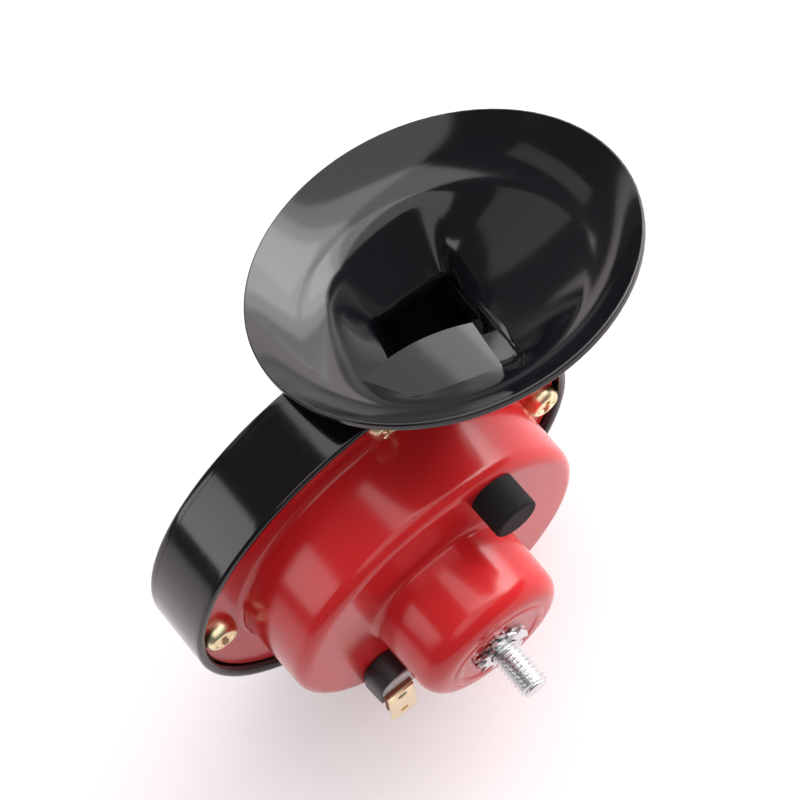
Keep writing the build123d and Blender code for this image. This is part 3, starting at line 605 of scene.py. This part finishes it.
def screw_patch(sizes, centre, turn):
    """A pan head with a cross recess: height over a polar grid is a dome less two sloped slots."""
    count = 96
    a = np.linspace(0, 2 * pi, count, endpoint=False)[None, :]
    share = np.linspace(0, 1, 30)[:, None]
    r = sizes.screw_head_r * share
    x, z = r * np.cos(a + turn), r * np.sin(a + turn)
    flat_share, edge_share = 0.62, 0.30
    dome = 1 - np.clip((share - flat_share) / (1 - flat_share), 0, 1) ** 2.6
    height = sizes.screw_head_h * (edge_share + (1 - edge_share) * dome) - 0.10 * share ** 2
    reach, half_w, recess_depth = 2.25, 0.52, 1.35

    def slot(p, q):
        """Depth of one slot: full in its middle, fading at its sides and towards its ends."""
        side = np.clip((half_w - np.abs(q)) / 0.14, 0, 1)
        end = np.clip((reach - np.abs(p)) / 0.9, 0, 1)
        return side * end

    middle = np.clip((1.0 - r) / 0.5, 0, 1)
    recess = np.maximum(np.maximum(slot(x, z), slot(z, x)), middle)
    y = sizes.flange_y - (height - recess * recess_depth)
    top = np.stack([centre[0] + r * np.cos(a), y, centre[1] + r * np.sin(a)], -1)
    skirt = top[-1:].copy()
    skirt[..., 1] = sizes.flange_y + SEAT
    foot = np.repeat(skirt.mean(1, keepdims=True), count, 1)
    rows = np.concatenate([top, skirt, foot])
    return rows, quads(len(rows), count, False, True)


# ------------------------------------------------------------------ finishes

EVEN = (1.0, 1.0, 1.0)
# A Mix node's colour sockets, by their places among all its sockets.
MIX_A, MIX_B, MIX_RESULT = 6, 7, 2


class Wire:
    """A node's outlet that can be used in sums; each sign adds its Math node."""

    def __init__(self, finish, outlet):
        self.finish = finish
        self.outlet = outlet

    def join(self, operation, *values):
        """One Math node on the given values."""
        return self.finish.add("ShaderNodeMath", {"operation": operation}, dict(enumerate(values)))

    def __add__(self, other):
        return self.join("ADD", self, other)

    def __mul__(self, other):
        return self.join("MULTIPLY", self, other)

    __radd__ = __add__
    __rmul__ = __mul__

    def between(self, low, high):
        """0 below low, 1 above high, and smooth between them."""
        return self.finish.add(
            "ShaderNodeMapRange", {"interpolation_type": "SMOOTHSTEP"},
            {"Value": self, "From Min": low, "From Max": high},
        )


class Finish:
    """A material that is written as expressions on the piece's own coordinates."""

    def __init__(self, name):
        self.material = bpy.data.materials.new(name)
        self.material.use_nodes = True
        self.tree = self.material.node_tree
        self.tree.nodes.clear()
        self.place = self.add("ShaderNodeTexCoord", outlet="Object")

    def add(self, kind, settings=None, values=None, outlet=0):
        """Add a node: its settings first, then the values or links of its sockets."""
        node = self.tree.nodes.new(kind)
        for key, value in (settings or {}).items():
            setattr(node, key, value)
        for key, value in (values or {}).items():
            socket = node.inputs[key]
            if isinstance(value, Wire):
                self.tree.links.new(value.outlet, socket)
            else:
                socket.default_value = value
        return Wire(self, node.outputs[outlet])

    def noise(self, size, detail, stretch=EVEN):
        """Cloudy noise whose features are about `size` millimetres across."""
        place = self.add("ShaderNodeMapping", {}, {"Vector": self.place, "Scale": stretch})
        return self.add(
            "ShaderNodeTexNoise", {},
            {"Vector": place, "Scale": 1.0 / (size * MM), "Detail": detail, "Roughness": 0.5},
        )

    def part(self, axis):
        """One coordinate of the place, in millimetres."""
        split = self.add("ShaderNodeSeparateXYZ", {}, {"Vector": self.place}, outlet=axis)
        return split * 1000.0

    def tint(self, share, low, high):
        """A colour between two colours."""
        low, high = [c if isinstance(c, Wire) else (*c, 1.0) for c in (low, high)]
        values = {"Factor": share, MIX_A: low, MIX_B: high}
        return self.add("ShaderNodeMix", {"data_type": "RGBA"}, values, outlet=MIX_RESULT)

    def bump(self, height, distance, strength):
        """A normal from a height between 0 and 1, `distance` millimetres high."""
        return self.add(
            "ShaderNodeBump", {},
            {"Height": height, "Distance": distance * MM, "Strength": strength}, outlet="Normal",
        )

    def finish(self, **values):
        """Close the material with a Principled surface."""
        values = {key.replace("_", " "): value for key, value in values.items()}
        self.add_output(self.add("ShaderNodeBsdfPrincipled", {}, values))
        return self.material

    def add_output(self, surface):
        """Link a surface to the material's output."""
        output = self.tree.nodes.new("ShaderNodeOutputMaterial")
        self.tree.links.new(surface.outlet, output.inputs["Surface"])


def scaled(tint, amount):
    """A colour made darker or lighter."""
    return tuple(min(1.0, c * amount) for c in tint)


def moulding(tints):
    """Glossy black plastic: faint flow clouds, fine grain and a few dull handling marks."""
    f = Finish("moulding")
    cloud = f.noise(14.0, 4.0)
    grain = f.noise(0.35, 2.0)
    marks = f.noise(3.0, 5.0, (1.0, 2.5, 1.0)).between(0.56, 0.72)
    colour = f.tint(cloud, scaled(tints.moulding, 0.85), scaled(tints.moulding, 1.25))
    return f.finish(
        Base_Color=colour,
        Roughness=0.10 + cloud * 0.04 + marks * 0.05,
        Normal=f.bump(grain * 0.6 + cloud * 0.4, 0.008, 0.35),
        Specular_IOR_Level=0.5,
    )


def red_coat(tints):
    """Red lacquer on pressed steel: fine orange peel, faint clouds and fine dark specks."""
    f = Finish("red_coat")
    peel = f.noise(0.9, 2.0)
    cloud = f.noise(9.0, 3.0)
    specks = f.noise(0.5, 1.0).between(0.70, 0.78)
    colour = f.tint(cloud, scaled(tints.red, 0.90), scaled(tints.red, 1.10))
    colour = f.tint(specks * 0.12, colour, scaled(tints.red, 0.45))
    return f.finish(
        Base_Color=colour,
        Roughness=0.17 + peel * 0.05,
        Specular_IOR_Level=0.36,
        Normal=f.bump(peel * 0.7 + cloud * 0.3, 0.012, 0.35),
        Coat_Weight=0.12,
        Coat_Roughness=0.10,
    )


def metal(name, tint, rough, brushed=EVEN, grain=0.4):
    """A plated or bare metal: short streaks in the roughness, clouds in the colour."""
    f = Finish(name)
    streak = f.noise(grain, 3.0, brushed)
    cloud = f.noise(2.5, 3.0)
    colour = f.tint(cloud, scaled(tint, 0.86), scaled(tint, 1.06))
    return f.finish(
        Base_Color=colour,
        Roughness=rough + streak * 0.10,
        Metallic=1.0,
        Normal=f.bump(streak, 0.006, 0.2),
    )


def yellow_zinc(tints):
    """Yellow passivated zinc with its pink and green patches."""
    f = Finish("yellow_zinc")
    cloud = f.noise(1.6, 2.0)
    grain = f.noise(0.25, 2.0)
    base = tints.yellow_zinc
    warm = (min(1.0, base[0] * 1.05), base[1] * 0.80, base[2] * 0.85)
    colour = f.tint(cloud.between(0.40, 0.62), tuple(base), warm)
    return f.finish(
        Base_Color=colour, Metallic=1.0, Roughness=0.26 + grain * 0.12,
        Normal=f.bump(grain, 0.01, 0.4),
    )


def soft_rubber(tints):
    """Matt black rubber with a dusty bloom."""
    f = Finish("black_rubber")
    bloom = f.noise(1.4, 4.0)
    grain = f.noise(0.2, 2.0)
    colour = f.tint(bloom, scaled(tints.rubber, 0.8), scaled(tints.rubber, 1.8))
    return f.finish(
        Base_Color=colour, Roughness=0.62 + bloom * 0.12, Specular_IOR_Level=0.18,
        Normal=f.bump(grain, 0.02, 0.4),
    )


def hard_fibre(name, tint, rough=0.55):
    """Pressed fibre or moulded insulator: short fibres in colour and height."""
    f = Finish(name)
    fibres = f.noise(0.5, 4.0, (1.0, 3.0, 0.4))
    colour = f.tint(fibres, scaled(tint, 0.7), scaled(tint, 1.35))
    return f.finish(
        Base_Color=colour, Roughness=rough + fibres * 0.1, Normal=f.bump(fibres, 0.02, 0.4)
    )


def wound_copper(tints):
    """Enamelled wire: its turns are a sine along the coil's length, one ridge each 0.45 mm, with
    painted shade in the grooves between them.
    """
    f = Finish("enamelled_copper")
    wire_pitch = 0.45
    phase = f.part("Y") * (2 * pi / wire_pitch)
    turns = phase.join("SINE", phase)
    ridge = turns * 0.5 + 0.5
    # Painted shade: the colour falls to 0.45 of the copper in the grooves between the turns, where
    # shade falls.
    colour = f.tint(ridge, scaled(tints.copper, 0.45), tuple(tints.copper))
    return f.finish(
        Base_Color=colour, Metallic=0.7, Roughness=0.3 + ridge * 0.1,
        Normal=f.bump(ridge, 0.1, 0.8),
    )


def all_finishes(tints):
    """Every finish, by the name of the material slot that it belongs to."""
    return {
        "moulding": moulding(tints),
        "red_steel": red_coat(tints),
        "yellow_zinc": yellow_zinc(tints),
        "zinc_steel": metal("zinc_steel", tints.zinc, 0.22, EVEN, 0.3),
        "tinned_brass": metal("tinned_brass", tints.brass, 0.20, (1.0, 1.0, 6.0), 0.5),
        "brass": metal("brass", scaled(tints.brass, 0.85), 0.30),
        "spring_steel": metal("spring_steel", tints.steel, 0.30, (0.2, 1.0, 3.0)),
        "soft_iron": metal("soft_iron", scaled(tints.steel, 0.6), 0.38, (1.0, 8.0, 1.0)),
        "tungsten": metal("tungsten", scaled(tints.steel, 0.7), 0.32),
        "enamelled_copper": wound_copper(tints),
        "brown_fibre": hard_fibre("brown_fibre", tints.fibre),
        "gasket_fibre": hard_fibre("gasket_fibre", (0.10, 0.10, 0.10), 0.7),
        "black_insulator": hard_fibre("black_insulator", (0.016, 0.015, 0.017), 0.38),
        "grey_washer": hard_fibre("grey_washer", tints.washer_grey, 0.45),
        "natural_nylon": hard_fibre("natural_nylon", tints.nylon, 0.4),
        "black_rubber": soft_rubber(tints),
    }


# ------------------------------------------------------------------ the steps that make the horn

class HORN_OT_finishes(bpy.types.Operator):
    """Make every finish and give it to the solids that stay as they are"""

    bl_idname = "horn.finishes"
    bl_label = "Finishes"

    def execute(self, context):
        made = frame["finishes"] = all_finishes(context.scene.horn_colours)
        slots = {entry["node"]: entry["material_slot"] for entry in frame["record"]["subparts"]}
        for node, solid in frame["nodes"].items():
            solid.data.materials.clear()
            solid.data.materials.append(made[slots[node]])
        return {"FINISHED"}


class HORN_OT_trumpet(bpy.types.Operator):
    """Make the moulded cup, the bell with the last stretch of its duct, and the spiral cover"""

    bl_idname = "horn.trumpet"
    bl_label = "Trumpet"

    def execute(self, context):
        s = context.scene.horn_sizes
        parts = [bell_patch(s), shelf_patch()]
        put("horn_bell", parts, "moulding", ["trumpet_body"], 40.0)

        inner, floor_y, ledge_r, ledge_y = s.lip_r - s.lip_wall, 41.8, 36.2, 40.0
        line = rounded(
            [
                (inner, s.lip_y), (s.lip_r, s.lip_y), (s.lip_r, s.seam_y), (0.0, s.seam_y),
                (0.0, floor_y), (ledge_r, floor_y), (ledge_r, ledge_y), (inner, ledge_y),
            ],
            [0.8, 0.8, 0, 0, 0, 0, 0, 0],
        )
        cup = put("horn_cup", [turned(finer(line, 1.2), 256)], "moulding", ["trumpet_body"])

        front_y = s.seam_y + SEAT
        back_y = front_y + s.bell_wall
        line = rounded(
            [(0.0, front_y), (s.lip_r, front_y), (s.lip_r, back_y), (0.0, back_y)],
            [0, 0.1, 0.9, 0],
        )
        back = put("horn_back", [turned(finer(line, 1.2), 256)], "moulding", ["spiral_cover"])
        for room in bell_rooms(s):
            cutter = bare_piece("cutter", [capped(room)])
            cut(cup, cutter)
            cut(back, cutter)
            bpy.data.objects.remove(cutter)
        put("horn_spiral", [spiral_patch(s.bell_wall)], "moulding", ["spiral_cover"], 40.0)
        return {"FINISHED"}


class HORN_OT_shell(bpy.types.Operator):
    """Make the pressed red shell"""

    bl_idname = "horn.shell"
    bl_label = "Shell"

    def execute(self, context):
        s = context.scene.horn_sizes
        draft = 0.4
        foot, drum_foot = s.boss_r + draft, s.drum_r + draft
        hole = s.stud_r + 0.1
        bead = [(8.9, 0.0), (9.6, 0.25), (10.5, 0.25), (11.2, 0.0)]
        line = rounded(
            [
                (hole, s.boss_y), *[(r, s.boss_y - height) for r, height in bead],
                (s.boss_r, s.boss_y), (foot, s.drum_y), (s.drum_r, s.drum_y),
                (drum_foot, s.flange_y), (s.flange_r, s.flange_y),
                (s.flange_r, s.flange_y + s.sheet), (drum_foot - s.sheet, s.flange_y + s.sheet),
                (s.drum_r - s.sheet, s.drum_y + s.sheet), (foot - s.sheet, s.drum_y + s.sheet),
                (s.boss_r - s.sheet, s.boss_y + s.sheet), (hole, s.boss_y + s.sheet),
            ],
            [0, 0.5, 0.4, 0.4, 0.5, 4.4, 1.4, 2.9, 1.6, 0.3, 0.3, 2.8, 1.7, 2.6, 3.2, 0],
            12,
        )
        put("horn_shell", [turned(finer(line, 1.5), 256)], "red_steel", ["shell"])
        return {"FINISHED"}


class HORN_OT_fastenings(bpy.types.Operator):
    """Make the flange screws, the threaded stud and the lock washers"""

    bl_idname = "horn.fastenings"
    bl_label = "Fastenings"

    def execute(self, context):
        s = context.scene.horn_sizes
        heads = []
        for angle, turn in zip(SCREW_ANGLES, SCREW_TURNS):
            way = radians(angle)
            spot = (s.screw_circle_r * cos(way), s.screw_circle_r * sin(way))
            heads.append(screw_patch(s, spot, radians(turn)))
        put("screw_heads", heads, "yellow_zinc", ["flange_screws"], 40.0)

        stud = thread_patch(s.stud_r, s.thread_depth, s.thread_pitch, -s.stud_length, 0.0, 0.7)
        root_r, neck_r, collar_r, core_r = 2.6, 2.8, 9.0, 7.0
        collar_y, collar_end, core_end = 2.8, 6.4, 27.0
        line = rounded(
            [
                (0.0, -0.4), (root_r, -0.4), (root_r, 0.0), (neck_r, 0.0), (neck_r, collar_y),
                (collar_r, collar_y), (collar_r, collar_end), (core_r, collar_end),
                (core_r, core_end), (0.0, core_end),
            ],
            [0, 0, 0, 0, 0, 0, 0.5, 0, 0.5, 0],
        )
        put("threaded_stud", [stud, turned(line, 64)], "zinc_steel", ["pole_core"], 28.0)

        first_y, second_y = 0.09, 0.11 + s.washer_t
        washers = [toothed_washer(s, first_y, 0.0), toothed_washer(s, second_y, 0.45)]
        put("toothed_washers", washers, "zinc_steel", ["lock_washers"], 30.0)
        return {"FINISHED"}


class HORN_OT_cap(bpy.types.Operator):
    """Make the rubber cap over the tuning screw"""

    bl_idname = "horn.cap"
    bl_label = "Rubber Cap"

    def execute(self, context):
        s = context.scene.horn_sizes
        top = s.drum_y - s.cap_height
        bore_r, crown = 2.1, 1.9
        line = rounded(
            [
                (0.0, top), (s.cap_r, top), (s.cap_r, s.drum_y), (bore_r, s.drum_y),
                (bore_r, top + crown), (0.0, top + crown),
            ],
            [0, 0.7, 0.15, 0, 0, 0],
        )
        put("soft_cap", [turned(finer(line, 0.6), 96, TUNING)], "black_rubber", ["rubber_cap"])
        return {"FINISHED"}


class HORN_OT_terminal(bpy.types.Operator):
    """Make the terminal block and what is riveted on it"""

    bl_idname = "horn.terminal"
    bl_label = "Terminal"

    def execute(self, context):
        s = context.scene.horn_sizes

        def place(flat):
            """Points (along the blade, beside it) in the (x, z) plane."""
            flat = np.asarray(flat, float)
            return TERMINAL + flat[:, :1] * ALONG_BLADE + flat[:, 1:2] * BESIDE_BLADE

        def box(start, end, half_w):
            """Corners of a rectangle along the blade, beside it by the strip's own shift."""
            low, high = STRIP_SIDE - half_w, STRIP_SIDE + half_w
            return np.array([(start, low), (end, low), (end, high), (start, high)])

        top = s.drum_y - s.block_height
        draft, tail_end = 0.38, 5.5
        foot_r = s.block_r + draft
        a = np.linspace(pi / 2, 3 * pi / 2, 40)
        round_end = np.stack([foot_r * np.cos(a), foot_r * np.sin(a)], 1)
        corners = [(0.0, -foot_r), (tail_end, -foot_r), (tail_end, foot_r), (0.0, foot_r)]
        tail = finer(np.array(corners), 1.0)
        tail = tail[tail[:, 0] > 0.2]
        outline = place(np.concatenate([round_end, tail]))
        block = plate(outline, top, s.drum_y, 0.35, None, draft)
        put("terminal_base", [block], "black_insulator", ["terminal_block"])

        post = place([(2.0, STRIP_SIDE)])[0]
        ring_y = top - RING_T
        washer = plate(place(circle(4.5)), ring_y, top, 0.12, (*post, RIVET_HOLE_R))
        put("terminal_ring", [washer], "grey_washer", ["terminal_washer"])

        strip_y = ring_y - STRIP_T
        strip = place(finer(box(0.0, 8.0, 3.3), 0.5))
        fibre = plate(strip, strip_y, ring_y, 0.06, (*post, RIVET_HOLE_R))
        put("fibre_pad", [fibre], "brown_fibre", ["fibre_strip"])

        half, end, clip = s.blade_w / 2, s.blade_length, 1.0
        low, high = STRIP_SIDE - half, STRIP_SIDE + half
        line = np.array([
            (0.0, low), (end - clip, low), (end, low + clip), (end, high - clip),
            (end - clip, high), (0.0, high),
        ])
        hole = place([(end - 3.3, STRIP_SIDE)])[0]
        outline = place(finer(line, 0.4))
        blade = plate(outline, strip_y - BLADE_T, strip_y, 0.14, (*hole, LATCH_HOLE_R))
        put("spade_blade", [blade], "tinned_brass", ["spade_terminal"])
        return {"FINISHED"}


# ------------------------------------------------------------------ the stage

# Each lamp's name, turn, rise, size, roll and glow.
LAMPS = (
    ("key core", 14.0, 25.0, (0.44, 0.46), -60.0, 2.0),
    ("key", 17.0, 26.0, (0.66, 0.68), -60.0, 1.8),
    ("broad", 42.0, 32.5, (1.42, 1.55), 35.5, 1.75),
    ("overhead", -22.0, 68.0, (0.61, 2.2), 38.0, 1.15),
    ("left", 157.0, 25.0, (0.22, 0.42), 0.0, 2.0),
    ("window", 115.0, 36.0, (0.17, 0.55), -31.0, 0.45),
)
LAMP_AWAY, LAMP_POWER = 0.8, 4.0
FLOOR_HALF, FLOOR_Z = 1500.0, -46.6
PAPER_SHARE = 0.35
CAMERA_PLACE = (
    (0.74503, 0.66703, 0.0, 0.01719),
    (-0.62447, 0.69749, -0.35147, -0.1031),
    (-0.23444, 0.26186, 0.93620, 0.4142),
    (0.0, 0.0, 0.0, 1.0),
)


def lay_floor(tints):
    """A pale floor that the camera, mirrors and glass see partly as glowing paper."""
    pale = Finish("pale_floor")
    mottle = pale.noise(60.0, 2.0)
    # Painted reflection: the pink of the paper and of its glow stands in for the shell's red
    # bounce light in the floor's shadow.
    shade = pale.tint(mottle, scaled(tints.backdrop, 0.995), tuple(tints.backdrop))
    paper = pale.add("ShaderNodeBsdfDiffuse", {}, {"Color": shade})
    white = {"Color": (1.0, 0.95, 0.955, 1.0), "Strength": 1.0}
    glow = pale.add("ShaderNodeEmission", {}, white)
    seen = [
        pale.add("ShaderNodeLightPath", outlet="Is %s Ray" % kind)
        for kind in ("Camera", "Glossy", "Transmission")
    ]
    share = (seen[0] + seen[1] + seen[2]) * PAPER_SHARE
    pale.add_output(pale.add("ShaderNodeMixShader", {}, {0: share, 1: paper, 2: glow}))
    corners = np.array([(-1, -1), (1, -1), (1, 1), (-1, 1)]) * FLOOR_HALF
    points = np.column_stack([corners, np.full(4, FLOOR_Z)])
    floor = bare_piece("floor", [(points, np.array([[0, 1, 2, 3]]))], pale.material)


def fill_world(scene):
    """A faint even light from everywhere."""
    world = bpy.data.worlds.new("studio")
    scene.world = world
    world.use_nodes = True
    nodes, links = world.node_tree.nodes, world.node_tree.links
    nodes.clear()
    out = nodes.new("ShaderNodeOutputWorld")
    back = nodes.new("ShaderNodeBackground")
    back.inputs["Color"].default_value = (1.0, 0.94, 1.0, 1.0)
    back.inputs["Strength"].default_value = 0.14
    links.new(back.outputs[0], out.inputs["Surface"])


def hang_lamp(scene, name, turn, rise, size, roll, glow):
    """A rectangular lamp of an even glow that faces the object.

    It hangs at a turn and rise in degrees; its power is its area times its glow.
    """
    turn, rise, roll = radians(turn), radians(rise), radians(roll)
    away = np.array([cos(rise) * cos(turn), cos(rise) * sin(turn), sin(rise)])
    side = np.array([-sin(turn), cos(turn), 0.0])
    up = np.cross(away, side)
    up = up * cos(roll) - side * sin(roll)
    data = bpy.data.lights.new(name, "AREA")
    data.shape = "RECTANGLE"
    data.size, data.size_y = size
    data.energy = LAMP_POWER * glow * size[0] * size[1]
    light = bpy.data.objects.new(name, data)
    scene.collection.objects.link(light)
    place = np.eye(4)
    place[:3] = np.stack([np.cross(up, away), up, away, LAMP_AWAY * away], 1)
    light.matrix_world = Matrix(place)


def set_camera(scene):
    """A long lens that looks down at the stud's end and into the bell."""
    data = bpy.data.cameras.new("camera")
    data.lens = 100.0
    data.sensor_width = 36.0
    camera = bpy.data.objects.new("camera", data)
    scene.collection.objects.link(camera)
    camera.matrix_world = Matrix(CAMERA_PLACE)
    scene.camera = camera
    scene.view_settings.view_transform = "Standard"


class HORN_OT_stage(bpy.types.Operator):
    """Set the floor, the lamps and the camera"""

    bl_idname = "horn.stage"
    bl_label = "Stage"

    def execute(self, context):
        scene = context.scene
        lay_floor(scene.horn_colours)
        fill_world(scene)
        for lamp in LAMPS:
            hang_lamp(scene, *lamp)
        set_camera(scene)
        return {"FINISHED"}


OPERATORS = (
    HORN_OT_finishes, HORN_OT_trumpet, HORN_OT_shell, HORN_OT_fastenings, HORN_OT_cap,
    HORN_OT_terminal, HORN_OT_stage,
)


class HORN_PT_panel(bpy.types.Panel):
    bl_label = "Snail Horn"
    bl_idname = "HORN_PT_panel"
    bl_space_type = "VIEW_3D"
    bl_region_type = "UI"
    bl_category = "Snail Horn"

    def draw(self, context):
        for operator in OPERATORS:
            self.layout.operator(operator.bl_idname)
        for group in (context.scene.horn_sizes, context.scene.horn_colours):
            box = self.layout.box()
            for key in group.bl_rna.properties.keys():
                if key not in ("rna_type", "name"):
                    box.prop(group, key)


CLASSES = (HornSizes, HornColours, *OPERATORS, HORN_PT_panel)


def register():
    for cls in CLASSES:
        bpy.utils.register_class(cls)
    bpy.types.Scene.horn_sizes = bpy.props.PointerProperty(type=HornSizes)
    bpy.types.Scene.horn_colours = bpy.props.PointerProperty(type=HornColours)


def unregister():
    del bpy.types.Scene.horn_sizes
    del bpy.types.Scene.horn_colours
    for cls in reversed(CLASSES):
        bpy.utils.unregister_class(cls)


def main():
    """Register the add-on and make every piece in order."""
    register()
    bpy.ops.horn.finishes()
    bpy.ops.horn.trumpet()
    bpy.ops.horn.shell()
    bpy.ops.horn.fastenings()
    bpy.ops.horn.cap()
    bpy.ops.horn.terminal()
    bpy.ops.horn.stage()


if __name__ == "__main__":
    main()
